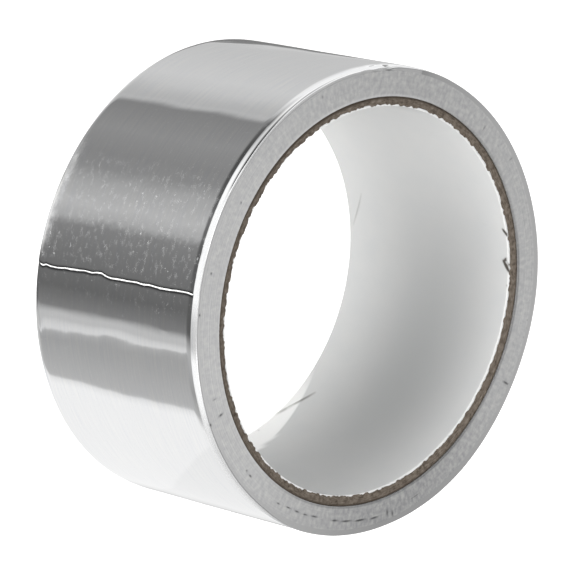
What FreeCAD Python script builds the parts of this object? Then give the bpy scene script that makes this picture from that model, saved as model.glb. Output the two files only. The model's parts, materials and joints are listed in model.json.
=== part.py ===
import FreeCAD, Part
import math
import os
import Sketcher

os.makedirs("parts", exist_ok=True)
doc = FreeCAD.newDocument("foil_tape_roll")

# The roll stands on one end. Z is the axis of the core, and z = 0 is the end it stands on.
# Millimetres, and one angle in degrees from +X about +Z.
driving_sizes = [
    ("bore_radius", 38.0, "clear bore, for a 76 mm hub"),
    ("lining_thickness", 0.4, "white paper ply glued inside the card tube"),
    ("lining_inset", 0.15, "how far the lining stops short of each end of the tube"),
    ("card_thickness", 1.6, "wall of the brown card tube"),
    ("tape_thickness", 0.11, "one turn: foil, adhesive and release paper"),
    ("turn_count", 54, "turns wound on the core"),
    ("tape_width", 45.0, "width of the tape, and length of the tube slit with it"),
    ("edge_round", 0.4, "rounding of the pack's two outer edges"),
    ("ridge_count", 10, "bundles of turns that stand proud on each end of the pack"),
    ("ridge_height", 0.08, "how far the bundles stand out past the hollows between them"),
    ("tail_angle", -81.5, "where the last turn ends"),
]

sizes = doc.addObject("Spreadsheet::Sheet", "sizes")
for row, (alias, value, meaning) in enumerate(driving_sizes, start=1):
    sizes.set("A%d" % row, alias)
    sizes.set("B%d" % row, str(value))
    sizes.set("C%d" % row, meaning)
    sizes.setAlias("B%d" % row, alias)
doc.recompute()

# Radii and steps that follow from the layers, counted from the bore outwards.
lining_outer = "(sizes.bore_radius + sizes.lining_thickness)"
core_outer = "(%s + sizes.card_thickness)" % lining_outer
tape_outer = "(%s + sizes.turn_count * sizes.tape_thickness)" % core_outer
shoulder = "(%s - sizes.edge_round)" % tape_outer
ridge_pitch = "((%s - %s) / sizes.ridge_count)" % (shoulder, core_outer)
# Both halves of the winding reach two turns into the tube's place, which is cut out last.
winding_inner = "(%s - 2 * sizes.tape_thickness)" % core_outer


def value_of(expression):
    """The number that an expression on the sheet gives now."""
    result = sizes.evalExpression(expression)
    return float(getattr(result, "Value", result))


def point_at(across, up):
    """A point in a sketch, from two expressions."""
    return FreeCAD.Vector(value_of(across), value_of(up), 0)


def circle_at(centre, radius):
    """A circle in a sketch, with its radius from an expression."""
    return Part.Circle(centre, FreeCAD.Vector(0, 0, 1), value_of(radius))


def new_sketch(body, name, role):
    """A sketch on one of the body's own origin planes."""
    sketch = body.newObject("Sketcher::SketchObject", name)
    plane = next(item for item in body.Origin.OriginFeatures if item.Role == role)
    sketch.AttachmentSupport = [(plane, "")]
    sketch.MapMode = "FlatFace"
    return sketch


def add_limit(sketch, kind, places, expression):
    """A dimension in a sketch that follows an expression on the sheet."""
    index = sketch.addConstraint(Sketcher.Constraint(kind, *places, value_of(expression)))
    sketch.setExpression("Constraints[%d]" % index, expression)


def add_centred_circle(sketch, radius):
    """A circle about the sketch's origin."""
    index = sketch.addGeometry(circle_at(FreeCAD.Vector(0, 0, 0), radius), False)
    sketch.addConstraint(Sketcher.Constraint("Coincident", index, 3, -1, 1))
    add_limit(sketch, "Radius", (index,), radius)


def add_tube(label, inner, outer, inset):
    """A tube about Z as long as the tape is wide, less an inset at each end."""
    body = doc.addObject("PartDesign::Body", label)
    body.Label = label
    section = new_sketch(body, label + "_section", "XY_Plane")
    add_centred_circle(section, inner)
    add_centred_circle(section, outer)
    length = body.newObject("PartDesign::Pad", label + "_length")
    length.Profile = section
    length.setExpression("Length", "sizes.tape_width - 2 * %s" % inset)
    body.setExpression(".Placement.Base.z", inset)
    return body


def half_outline(inward):
    """The corners of the winding's section as radius, height and kind of edge that follows.
    It runs out along the lower end, up the outer wall and back along the upper end. Crests lie
    in the end planes, with a hollow between each two, and a quarter round at each shoulder."""
    inner = "%s - %s" % (winding_inner, inward)
    radii = ["%s + %d * %s / 2 - %s" % (core_outer, step, ridge_pitch, inward)
             for step in range(2 * int(value_of("sizes.ridge_count")) + 1)]
    low = ["sizes.ridge_height" if step % 2 else "0" for step in range(len(radii))]
    high = ["sizes.tape_width - %s" % height for height in low]
    wall = "%s - %s" % (tape_outer, inward)

    outline = [(inner, "0", "line")]
    outline += [(radius, height, "line") for radius, height in zip(radii[:-1], low)]
    outline.append((radii[-1], low[-1], "low round"))
    outline.append((wall, "sizes.edge_round", "wall"))
    outline.append((wall, "sizes.tape_width - sizes.edge_round", "high round"))
    outline += [(radius, height, "line") for radius, height in zip(radii[::-1], high[::-1])]
    outline.append((inner, "sizes.tape_width", "line"))
    return outline


def draw_outline(sketch, inward):
    """Draws the winding's section in a sketch and ties every corner of it to the sheet."""
    outline = half_outline(inward)
    middle = "%s - %s" % (shoulder, inward)
    rounds = {
        "low round": (point_at(middle, "sizes.edge_round"), -math.pi / 2, 0),
        "high round": (point_at(middle, "sizes.tape_width - sizes.edge_round"), 0, math.pi / 2),
    }
    following = outline[1:] + outline[:1]
    for (across, up, edge), (next_across, next_up, next_edge) in zip(outline, following):
        if edge in rounds:
            centre, start_angle, end_angle = rounds[edge]
            shape = Part.ArcOfCircle(circle_at(centre, "sizes.edge_round"), start_angle, end_angle)
        else:
            shape = Part.LineSegment(point_at(across, up), point_at(next_across, next_up))
        sketch.addGeometry(shape, False)

    for index, (across, up, edge) in enumerate(outline):
        add_limit(sketch, "DistanceX", (-1, 1, index, 1), across)
        if up == "0":
            sketch.addConstraint(Sketcher.Constraint("PointOnObject", index, 1, -1))
        else:
            add_limit(sketch, "DistanceY", (-1, 1, index, 1), up)
        joined = (index + 1) % len(outline)
        kind = "Tangent" if "wall" in (edge, outline[joined][2]) else "Coincident"
        sketch.addConstraint(Sketcher.Constraint(kind, index, 2, joined, 1))


def add_axis_line(sketch, inward):
    """A construction line beside the sketch's upright axis, half of a length towards -X."""
    foot = point_at("-%s / 2" % inward, "0")
    head = point_at("-%s / 2" % inward, "sizes.tape_width")
    line = sketch.addGeometry(Part.LineSegment(foot, head), True)
    sketch.addConstraint(Sketcher.Constraint("Vertical", line))
    sketch.addConstraint(Sketcher.Constraint("PointOnObject", line, 1, -1))
    add_limit(sketch, "DistanceX", (line, 1, -1, 1), "%s / 2" % inward)
    add_limit(sketch, "DistanceY", (line, 1, line, 2), "sizes.tape_width")


def add_winding():
    """The tape as one pack of turns. Two halves, each turned through 180 degrees, meet flush on
    one side. The earlier half is drawn one tape thickness smaller, about an axis that stands half
    a thickness off Z, so crests, hollows and wall all climb one thickness in a turn, as wound
    tape does, and the wall drops by one thickness where the last turn ends."""
    body = doc.addObject("PartDesign::Body", "foil_tape")
    body.Label = "foil_tape"

    later_section = new_sketch(body, "later_half_section", "XZ_Plane")
    draw_outline(later_section, "0")
    later = body.newObject("PartDesign::Revolution", "later_half_turn")
    later.Profile = later_section
    later.ReferenceAxis = (later_section, ["V_Axis"])
    later.Angle = 180
    later.Reversed = True

    earlier_section = new_sketch(body, "earlier_half_section", "XZ_Plane")
    draw_outline(earlier_section, "sizes.tape_thickness")
    add_axis_line(earlier_section, "sizes.tape_thickness")
    earlier = body.newObject("PartDesign::Revolution", "earlier_half_turn")
    earlier.Profile = earlier_section
    earlier.ReferenceAxis = (earlier_section, ["Axis0"])
    earlier.Angle = 180
    doc.recompute()

    seat = new_sketch(body, "core_seat_section", "XY_Plane")
    add_centred_circle(seat, core_outer)
    cut = body.newObject("PartDesign::Pocket", "core_seat")
    cut.Profile = seat
    cut.Reversed = True
    cut.setExpression("Length", "sizes.tape_width")

    body.Placement.Rotation = FreeCAD.Rotation(FreeCAD.Vector(0, 0, 1), 1)
    body.setExpression(".Placement.Rotation.Angle", "sizes.tail_angle * 1 deg")
    return body


nodes = [
    add_winding(),
    add_tube("cardboard_core", lining_outer, core_outer, "0"),
    add_tube("paper_lining", "sizes.bore_radius", lining_outer, "sizes.lining_inset"),
]
doc.recompute()

for item in doc.Objects:
    if "Invalid" in item.State or "Error" in item.State:
        raise RuntimeError("%s failed: %s" % (item.Name, item.State))
for node in nodes:
    if node.Shape.isNull() or not node.Shape.isValid():
        raise RuntimeError("%s has no valid shape" % node.Label)

# The winding is a ring less the hollows on its ends, its rounded edges and the step's taper.
ring_area = math.pi * (value_of(tape_outer) ** 2 - value_of(core_outer) ** 2)
fullness = nodes[0].Shape.Volume / (ring_area * value_of("sizes.tape_width"))
print("the winding fills %.4f of its ring" % fullness)
if not 0.9 < fullness < 1:
    raise RuntimeError("the core's seat or a half of the winding is missing")

for node in nodes:
    node.Shape.exportStep("parts/%s.step" % node.Label)
    box = node.Shape.optimalBoundingBox()
    print("%-16s solids %d  volume %9.1f  x %.3f %.3f  y %.3f %.3f  z %.3f %.3f" % (
        node.Label, len(node.Shape.Solids), node.Shape.Volume,
        box.XMin, box.XMax, box.YMin, box.YMax, box.ZMin, box.ZMax))
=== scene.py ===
import json
from functools import partial

import bpy
import numpy as np
from mathutils import Euler, Matrix, Vector


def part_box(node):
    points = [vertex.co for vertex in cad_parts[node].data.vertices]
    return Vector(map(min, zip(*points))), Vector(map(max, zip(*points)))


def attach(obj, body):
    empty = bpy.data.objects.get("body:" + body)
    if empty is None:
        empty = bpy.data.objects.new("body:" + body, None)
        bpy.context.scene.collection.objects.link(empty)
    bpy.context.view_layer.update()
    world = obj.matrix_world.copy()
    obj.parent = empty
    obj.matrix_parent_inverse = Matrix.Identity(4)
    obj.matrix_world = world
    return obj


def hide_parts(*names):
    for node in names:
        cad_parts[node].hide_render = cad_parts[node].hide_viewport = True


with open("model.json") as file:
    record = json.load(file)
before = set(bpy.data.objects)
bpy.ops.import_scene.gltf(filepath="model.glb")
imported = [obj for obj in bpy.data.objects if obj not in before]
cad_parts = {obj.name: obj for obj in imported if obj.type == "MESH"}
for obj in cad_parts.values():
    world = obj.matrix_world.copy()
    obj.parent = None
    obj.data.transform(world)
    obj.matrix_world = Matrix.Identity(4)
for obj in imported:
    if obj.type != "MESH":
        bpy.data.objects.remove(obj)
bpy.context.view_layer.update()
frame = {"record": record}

mm = 0.001
tapeLow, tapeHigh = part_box("foil_tape")
_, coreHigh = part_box("cardboard_core")
liningLow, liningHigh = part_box("paper_lining")
rollRadius = -tapeLow.y  # the last turn is widest just before its cut end
rollWidth = tapeHigh.z - tapeLow.z
coreRadius = coreHigh.x
plyRadius = liningHigh.x
liningTop = liningHigh.z - 0.24 * mm  # the ply ends a little below the lip of the card
boreRadius = frame["record"]["mounts"][0]["dims"]["r_mm"] * mm
print("frame loaded, roll", round(rollRadius / mm, 2), "by", round(rollWidth / mm, 2), "mm")


def hexColour(code):
    # an sRGB hex value turned to linear light with the standard curve
    part = np.array([int(code[i : i + 2], 16) for i in (0, 2, 4)]) / 255
    linear = np.where(part <= 0.04045, part / 12.92, ((part + 0.055) / 1.055) ** 2.4)
    return (*linear.tolist(), 1.0)


def evenGrey(level):
    return (level, level, level, 1.0)


def addNode(tree, kind, settings=None, links=None, output=None):
    # adds one shader node, sets its options, unlinked sockets and ramp, with hex values for colours,
    # links its inputs, and gives the output that is named, or else the first one in use
    node = tree.nodes.new("ShaderNode" + kind)
    for key, value in (settings or {}).items():
        if key == "stops":
            stops = node.color_ramp.elements
            while len(stops) < len(value):
                stops.new(1.0)
            for stop, (place, tone) in zip(stops, value):
                stop.position = place
                stop.color = hexColour(tone) if isinstance(tone, str) else tone
        elif isinstance(key, str) and hasattr(node, key):
            setattr(node, key, value)
        else:
            node.inputs[key].default_value = hexColour(value) if isinstance(value, str) else value
    for key, source in (links or {}).items():
        if source:
            tree.links.new(source, node.inputs[key])
    return node.outputs[output] if output else next((o for o in node.outputs if o.enabled), None)


def makeFinish(name, paint):
    # a material with one shader, whose settings and links come from the finish's own function
    material = bpy.data.materials.new(name)
    material.use_nodes = True
    material.node_tree.nodes.clear()
    add = partial(addNode, material.node_tree)
    shader = add("BsdfPrincipled", *paint(add))
    add("OutputMaterial", None, {"Surface": shader})
    return material


def softRange(low, high, most=1.0):
    # settings for a range that rises from 0 at low to the most at high in a soft S
    return {"interpolation_type": "SMOOTHSTEP", "From Min": low, "From Max": high, "To Max": most}


def smoothStep(value, low, high):
    # 0 below low, 1 above high and a soft S between them
    share = np.clip((value - low) / (high - low), 0, 1)
    return share * share * (3 - 2 * share)


def stretchOf(value, low, full, held, high):
    # 1 from full to held, 0 below low and above high, and a soft S on each side
    return smoothStep(value, low, full) * (1 - smoothStep(value, held, high))


def bellCurve(value, middle, half):
    # 1 in the middle, and e to the minus 1 at half a width to each side
    return np.exp(-(((value - middle) / half) ** 2))


def readTable(table, place):
    # straight lines between the pairs of place and value that are listed
    places, values = np.array(table).T
    return np.interp(place, places, values)


def softTable(table, place):
    # the same, but with a soft S from each pair to the next
    steps = zip(table, table[1:])
    return table[0][1] + sum((b - a) * smoothStep(place, low, high) for (low, a), (high, b) in steps)


def spotAt(turn, level, perDegree, place, at, halfRound, halfAcross):
    # a bell curve both ways about one place, with its half widths in mm
    return bellCurve((turn - place) * perDegree, 0, halfRound) * bellCurve(level, at, halfAcross)


def softKernel(size):
    # a raised cosine over a number of columns, that keeps the strength of the noise it smooths
    weights = np.hanning(size + 2)[1:-1]
    return weights / np.sqrt((weights**2).sum())


def smoothRound(noise, kernel):
    # a running mean with the kernel's weights that carries on round the ring
    count = len(noise)
    return np.convolve(np.tile(noise, 3), kernel, "same")[count : 2 * count]


def sineField(around, height, radius, waves, shortest, longest, slope, seed):
    # sum of sine waves over (angle, height): each has a whole number of crests round the axis, so the
    # field closes on itself, and its height is its wavelength times slope, so all tilt the skin alike
    rng = np.random.default_rng(seed)
    total = np.zeros(np.broadcast(around, height).shape)
    for length in np.geomspace(shortest, longest, waves):
        heading = rng.uniform(0, np.pi)
        number = 2 * np.pi / length
        crests = np.round(number * radius * np.cos(heading))
        rise = number * np.sin(heading)
        total += slope / number * np.sin(crests * around + rise * height + rng.uniform(0, 2 * np.pi))
    return total * np.sqrt(2 / waves)


def creaseField(turn, level, perDegree, creases):
    # each crease is a line from one point to another on the unrolled skin, in degrees and mm: a bell
    # curve of the distance to the line, times its height, that fades in and out over its two ends
    total = np.zeros(np.broadcast(turn, level).shape)
    for startTurn, startLevel, endTurn, endLevel, width, rise in creases:
        arc, up = (turn - startTurn) * perDegree, level - startLevel
        runArc, runUp = (endTurn - startTurn) * perDegree, endLevel - startLevel
        held = np.clip((arc * runArc + up * runUp) / (runArc**2 + runUp**2), 0, 1)
        gap = np.hypot(arc - held * runArc, up - held * runUp)
        total += rise * bellCurve(gap, 0, width) * (0.35 + 0.65 * np.sin(np.pi * held))
    return total


ovalShape = {
    # the roll is a little out of round: lobes round it, then their height in mm and where the first
    # one points in degrees, at the far end and at the near end
    "lobes": [(1, 0.07, -90, 0, -90), (2, 0.68, -51.4, 0.57, -47.3), (3, 0.1, -33, 0.16, -9.7)],
    "shrink": 0.07 * mm,  # keeps the lobes inside the solids' box
}


def ovalRise(angle, height):
    # how far the roll stands out of round: cosines of the angle, that change evenly from end to end
    share = height / rollWidth
    rise = 0 * angle - ovalShape["shrink"]
    for count, farRise, farWay, nearRise, nearWay in ovalShape["lobes"]:
        farWave = farRise * np.cos(count * (angle - np.radians(farWay)))
        nearWave = nearRise * np.cos(count * (angle - np.radians(nearWay)))
        rise = rise + mm * (farWave * (1 - share) + nearWave * share)
    return rise


def finishPiece(mesh, sharp):
    mesh.shade_smooth()
    mesh.set_sharp_from_angle(angle=np.radians(sharp))
    mesh.update()
    piece = bpy.data.objects.new(mesh.name, mesh)
    bpy.context.scene.collection.objects.link(piece)
    return piece


def ringPiece(name, radius, height, angle, around, section, sharp, shades):
    # a ring skin: row i and column j lie at (radius cos angle, radius sin angle, height). Rows go
    # round the section and columns round the axis, and both close, so the skin has no open edge.
    # around and section are lengths in metres for the map "wound", one more than the grid has
    rows, columns = radius.shape
    full = radius + ovalRise(angle, height)
    points = np.stack([full * np.cos(angle), full * np.sin(angle), height], -1).reshape(-1, 3)
    index = np.arange(rows * columns).reshape(rows, columns)
    right = np.roll(index, -1, 1)
    up = np.roll(index, -1, 0)
    faces = np.stack([index, right, np.roll(right, -1, 0), up], -1).reshape(-1, 4)
    mesh = bpy.data.meshes.new(name)
    mesh.from_pydata(points.tolist(), [], faces.tolist())
    u = np.broadcast_to(around, (rows + 1, columns + 1))
    v = np.broadcast_to(np.asarray(section)[:, None], (rows + 1, columns + 1))
    first, last = slice(0, -1), slice(1, None)
    corners = [(first, first), (first, last), (last, last), (last, first)]
    wound = np.stack([np.stack([u[c], v[c]], -1) for c in corners], 2)
    mesh.uv_layers.new(name="wound").data.foreach_set("uv", wound.astype(np.float32).ravel())
    for key, values in shades.items():
        layer = mesh.attributes.new(key, "FLOAT", "POINT")
        layer.data.foreach_set("value", np.broadcast_to(values, radius.shape).astype(np.float32).ravel())
    return finishPiece(mesh, sharp)


def runningLength(radius, height):
    # the length along the section's rows, from its first column, with the closing run at the end
    run = np.hypot(np.diff(radius[:, 0], append=radius[0, 0]), np.diff(height[:, 0], append=height[0, 0]))
    return np.r_[0, np.cumsum(run)]


def dressPiece(piece, material, node):
    piece.data.materials.append(material)
    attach(piece, "root")
    if node:
        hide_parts(node)
    print("made", piece.name, len(piece.data.polygons), "faces")


foilLook = {
    # noise on the unrolled strip: mm along it, mm across it, and detail
    "noises": {
        "grain": (9.0, 0.45, 3.0),  # lines of the rolls, coarser than the real 0.05 mm, so that they show
        "ripple": (7.0, 10.0, 2.0),  # soft waves of handling
        "rub": (2.6, 1.8, 2.0),  # shorter ones where the foil is worn
        "brush": (1.7, 1.1, 1.0),  # rubbed flecks
    },
    "patch": 6.0,  # mm across: the worn spots gather in patches
    # two sizes of pin dent and two of slanted scratch: mm along and across to the next one, the shares
    # of that where a mark is full and where it ends, and its slant in degrees
    "marks": [
        (1.4, 1.5, 0.06, 0.15, 0), (2.6, 2.9, 0.03, 0.08, 25), (6, 1.7, 0.03, 0.12, 32),
        (4.2, 1.9, 0.03, 0.12, 10),
    ],
    # where a noise starts to show and where it shows most, and how strongly
    "shows": {"marks": (0.42, 0.58, 0.36), "brush": (0.49, 0.80, 0.10), "fringe": (0.1, 0.9, 0.45)},
    "heights": {"ripple": 0.018, "rub": 0.018, "grain": 0.00008, "marks": 0.005},  # of each relief, in mm
    "grainTones": [(0.3, "eff0f2"), (0.7, "f6f6f5")],
    "cutTones": ("959595", "bababa"),  # the crushed slit edge as a painted shaded and a painted lit grey, for the roll's dull and bright sides
    "soilAndShadeTone": "2a2b2d",
    "roughness": (0.05, 0.5),  # from clean to scuffed
    "metallic": (1.0, 0.15),
}


def rolledFoil(add):
    # bright mill-rolled aluminium foil: the polished rolls leave a near mirror with a fine grain
    # along the strip, and handling adds soft ripples, pin dents, scuffs and short scratches
    s = foilLook
    wound = add("UVMap", {"uv_map": "wound"})
    worn, soil, cut, rubbed, shine = [
        add("Attribute", {"attribute_name": name}, None, "Fac")
        for name in ("worn", "soil", "cut", "rubbed", "shine")
    ]
    noise = {}
    for name, (along, across, detail) in s["noises"].items():
        scaled = add("Mapping", {"Scale": (1000 / along, 1000 / across, 1)}, {"Vector": wound})
        noise[name] = add("TexNoise", {"Scale": 1.0, "Detail": detail}, {"Vector": scaled})
    patch = add("TexNoise", {"Scale": 1000 / s["patch"], "Detail": 1.0}, {"Vector": wound})
    marks = None
    for along, across, full, end, slant in s["marks"]:
        leaning = add("Mapping", {"Rotation": (0, 0, np.radians(slant))}, {"Vector": wound})
        scaled = add("Mapping", {"Scale": (1000 / along, 1000 / across, 1)}, {"Vector": leaning})
        cell = add("TexVoronoi", {"Scale": 1.0}, {"Vector": scaled})
        spot = add("MapRange", softRange(end, full), {"Value": cell})
        marks = add("Math", {"operation": "MAXIMUM", 1: 0.0}, {0: spot, 1: marks})
    # dents and scratches in the patches, flecks where the foil is worn, and grey along the far rim
    shown = {}
    sources = {"marks": (patch, worn), "brush": (noise["brush"], worn), "fringe": (noise["rub"], rubbed)}
    for name, (source, where) in sources.items():
        share = add("MapRange", softRange(*s["shows"][name]), {"Value": source})
        shown[name] = add("Math", {"operation": "MULTIPLY"}, {0: share, 1: where})
    shown["marks"] = add("Math", {"operation": "MULTIPLY"}, {0: marks, 1: shown["marks"]})
    dull = cut
    for share in shown.values():
        dull = add("Math", {"operation": "MAXIMUM"}, {0: dull, 1: share})
    rub = add("Math", {"operation": "MULTIPLY"}, {0: noise["rub"], 1: worn})
    reliefs = {**noise, "rub": rub, "marks": shown["marks"]}
    normal = None
    for name, high in s["heights"].items():
        normal = add("Bump", {"Distance": high * mm}, {"Height": reliefs[name], "Normal": normal})
    tone = add("ValToRGB", {"stops": s["grainTones"]}, {"Fac": noise["grain"]})
    # where the knife crushed it the edge is matt and greyer, with painted sheen: a shaded and a lit grey
    # mixed round the roll
    shadedCut, litCut = s["cutTones"]
    crushed = add("Mix", {"data_type": "RGBA", 6: shadedCut, 7: litCut}, {0: shine})
    edged = add("Mix", {"data_type": "RGBA"}, {0: cut, 6: tone, 7: crushed})
    # painted shade beside the cut end, in the gap between two turns and on the corners, and greyer marks
    # on the rims
    soiledAndShaded = add("Mix", {"data_type": "RGBA", 7: s["soilAndShadeTone"]}, {0: soil, 6: edged})
    links = {"Base Color": soiledAndShaded, "Normal": normal}
    for socket, (clean, scuffed) in (("Metallic", s["metallic"]), ("Roughness", s["roughness"])):
        links[socket] = add("MapRange", {"To Min": clean, "To Max": scuffed}, {"Value": dull})
    return None, links


slitLook = {
    # noise on the flat end: mm round it, mm across it, and detail
    "noises": {
        "turns": (50.0, 0.6, 2.0),  # edges of the turns, five to a line so that they show
        "drag": (0.7, 1.8, 4.0),  # marks of the knife
    },
    "mottle": 0.9,  # mm across: spots of adhesive
    "heights": {"turns": 0.015, "drag": 0.03},  # of each relief, in mm
    # a painted shaded and a painted lit copy of the same greys, mixed by the painted sheen
    "shadedTones": [(0.38, "838385"), (0.5, "949494"), (0.62, "a7a7a5")],
    "litTones": [(0.38, "b3b3b4"), (0.5, "bababa"), (0.62, "c2c2c0")],
    "soilAndShadeTone": "38393b",
}


def slitTapeEdge(add):
    # the edges of all turns of foil, adhesive and release paper, slit together: a matt light grey
    # with rings of the turns and fine radial drag marks of the round knife
    s = slitLook
    place = add("TexCoord", None, None, "Object")
    wound = add("UVMap", {"uv_map": "wound"})
    soil, shine = [add("Attribute", {"attribute_name": name}, None, "Fac") for name in ("soil", "shine")]
    noise = {}
    normal = None
    for name, (along, across, detail) in s["noises"].items():
        scaled = add("Mapping", {"Scale": (1000 / along, 1000 / across, 1)}, {"Vector": wound})
        noise[name] = add("TexNoise", {"Scale": 1.0, "Detail": detail}, {"Vector": scaled})
        height = {"Distance": s["heights"][name] * mm}
        normal = add("Bump", height, {"Height": noise[name], "Normal": normal})
    mottle = add("TexNoise", {"Scale": 1000 / s["mottle"], "Detail": 3.0}, {"Vector": place})
    lines = add("Mix", {0: 0.75}, {2: noise["turns"], 3: noise["drag"]})
    mixed = add("Mix", {0: 0.45}, {2: lines, 3: mottle})
    dull = add("ValToRGB", {"stops": s["shadedTones"]}, {"Fac": mixed})
    litTone = add("ValToRGB", {"stops": s["litTones"]}, {"Fac": mixed})
    # painted sheen: the shaded and the lit greys mixed round the roll
    tone = add("Mix", {"data_type": "RGBA"}, {0: shine, 6: dull, 7: litTone})
    soiledAndShaded = add("Mix", {"data_type": "RGBA", 7: s["soilAndShadeTone"]}, {0: soil, 6: tone})
    return {"Metallic": 0.15, "Roughness": 0.6}, {"Base Color": soiledAndShaded, "Normal": normal}


cardLook = {
    "fibre": (1.6, 0.14),  # mm along and across
    "fleck": 0.9,  # mm
    "height": 0.12,  # of the relief, in mm
    "tones": [(0.34, "443c34"), (0.46, "61584f"), (0.58, "766d63"), (0.7, "8a8177")],
    "jointShadowTone": "4a423a",
}


def woundCard(add):
    # grey-brown core board, wound and glued in plies: dull, with torn fibres and a painted shadow along
    # its joint with the tape
    s = cardLook
    place = add("TexCoord", None, None, "Object")
    wound = add("UVMap", {"uv_map": "wound"})
    glue = add("Attribute", {"attribute_name": "glue"}, None, "Fac")
    along, across = s["fibre"]
    scaled = add("Mapping", {"Scale": (1000 / along, 1000 / across, 1)}, {"Vector": wound})
    fibre = add("TexNoise", {"Scale": 1.0, "Detail": 3.0}, {"Vector": scaled})
    fleck = add("TexNoise", {"Scale": 1000 / s["fleck"], "Detail": 2.0}, {"Vector": place})
    mixed = add("Mix", {0: 0.45}, {2: fibre, 3: fleck})
    tone = add("ValToRGB", {"stops": s["tones"]}, {"Fac": mixed})
    jointShaded = add("Mix", {"data_type": "RGBA", 7: s["jointShadowTone"]}, {0: glue, 6: tone})
    normal = add("Bump", {"Distance": s["height"] * mm}, {"Height": mixed})
    return {"Roughness": 0.95, "Specular IOR Level": 0.2}, {"Base Color": jointShaded, "Normal": normal}


liningLook = {
    "mottle": 5.0,  # mm
    "fibre": 0.7,  # mm
    "height": 0.01,  # of the fibres, in mm
    "tones": [(0.3, "d0d1d1"), (0.7, "d4d4d3")],
    # tones laid over it, each by the share that its own attribute gives: a painted shade, a painted light
    # that also whitens the torn edge, and soil with painted shadow lines
    "layers": {"dim": "a3a4a4", "bare": "f4f4f3", "soil": "4d4843"},
}


def calenderedPaper(add):
    # smooth white paper, pressed between rolls: even and softly glossy, faintly mottled, with painted
    # shade and painted light laid over its tone
    s = liningLook
    place = add("TexCoord", None, None, "Object")
    mottle = add("TexNoise", {"Scale": 1000 / s["mottle"], "Detail": 3.0}, {"Vector": place})
    fibre = add("TexNoise", {"Scale": 1000 / s["fibre"], "Detail": 2.0}, {"Vector": place})
    tone = add("ValToRGB", {"stops": s["tones"]}, {"Fac": mottle})
    for name, layer in s["layers"].items():
        share = add("Attribute", {"attribute_name": name}, None, "Fac")
        tone = add("Mix", {"data_type": "RGBA", 7: layer}, {0: share, 6: tone})
    normal = add("Bump", {"Distance": s["height"] * mm}, {"Height": fibre})
    return {"Roughness": 0.5, "Specular IOR Level": 0.35}, {"Base Color": tone, "Normal": normal}


releaseLook = {"fibre": 0.4, "height": 0.03, "tones": [(0.3, "ececea"), (0.6, "fbfbfa")]}  # sizes in mm


def releasePaper(add):
    # the torn white edge of the release paper under the foil's cut end: rough, bright fibres
    s = releaseLook
    place = add("TexCoord", None, None, "Object")
    fibre = add("TexNoise", {"Scale": 1000 / s["fibre"], "Detail": 2.0}, {"Vector": place})
    tone = add("ValToRGB", {"stops": s["tones"]}, {"Fac": fibre})
    normal = add("Bump", {"Distance": s["height"] * mm}, {"Height": fibre})
    return {"Roughness": 0.85, "Specular IOR Level": 0.2}, {"Base Color": tone, "Normal": normal}


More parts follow.
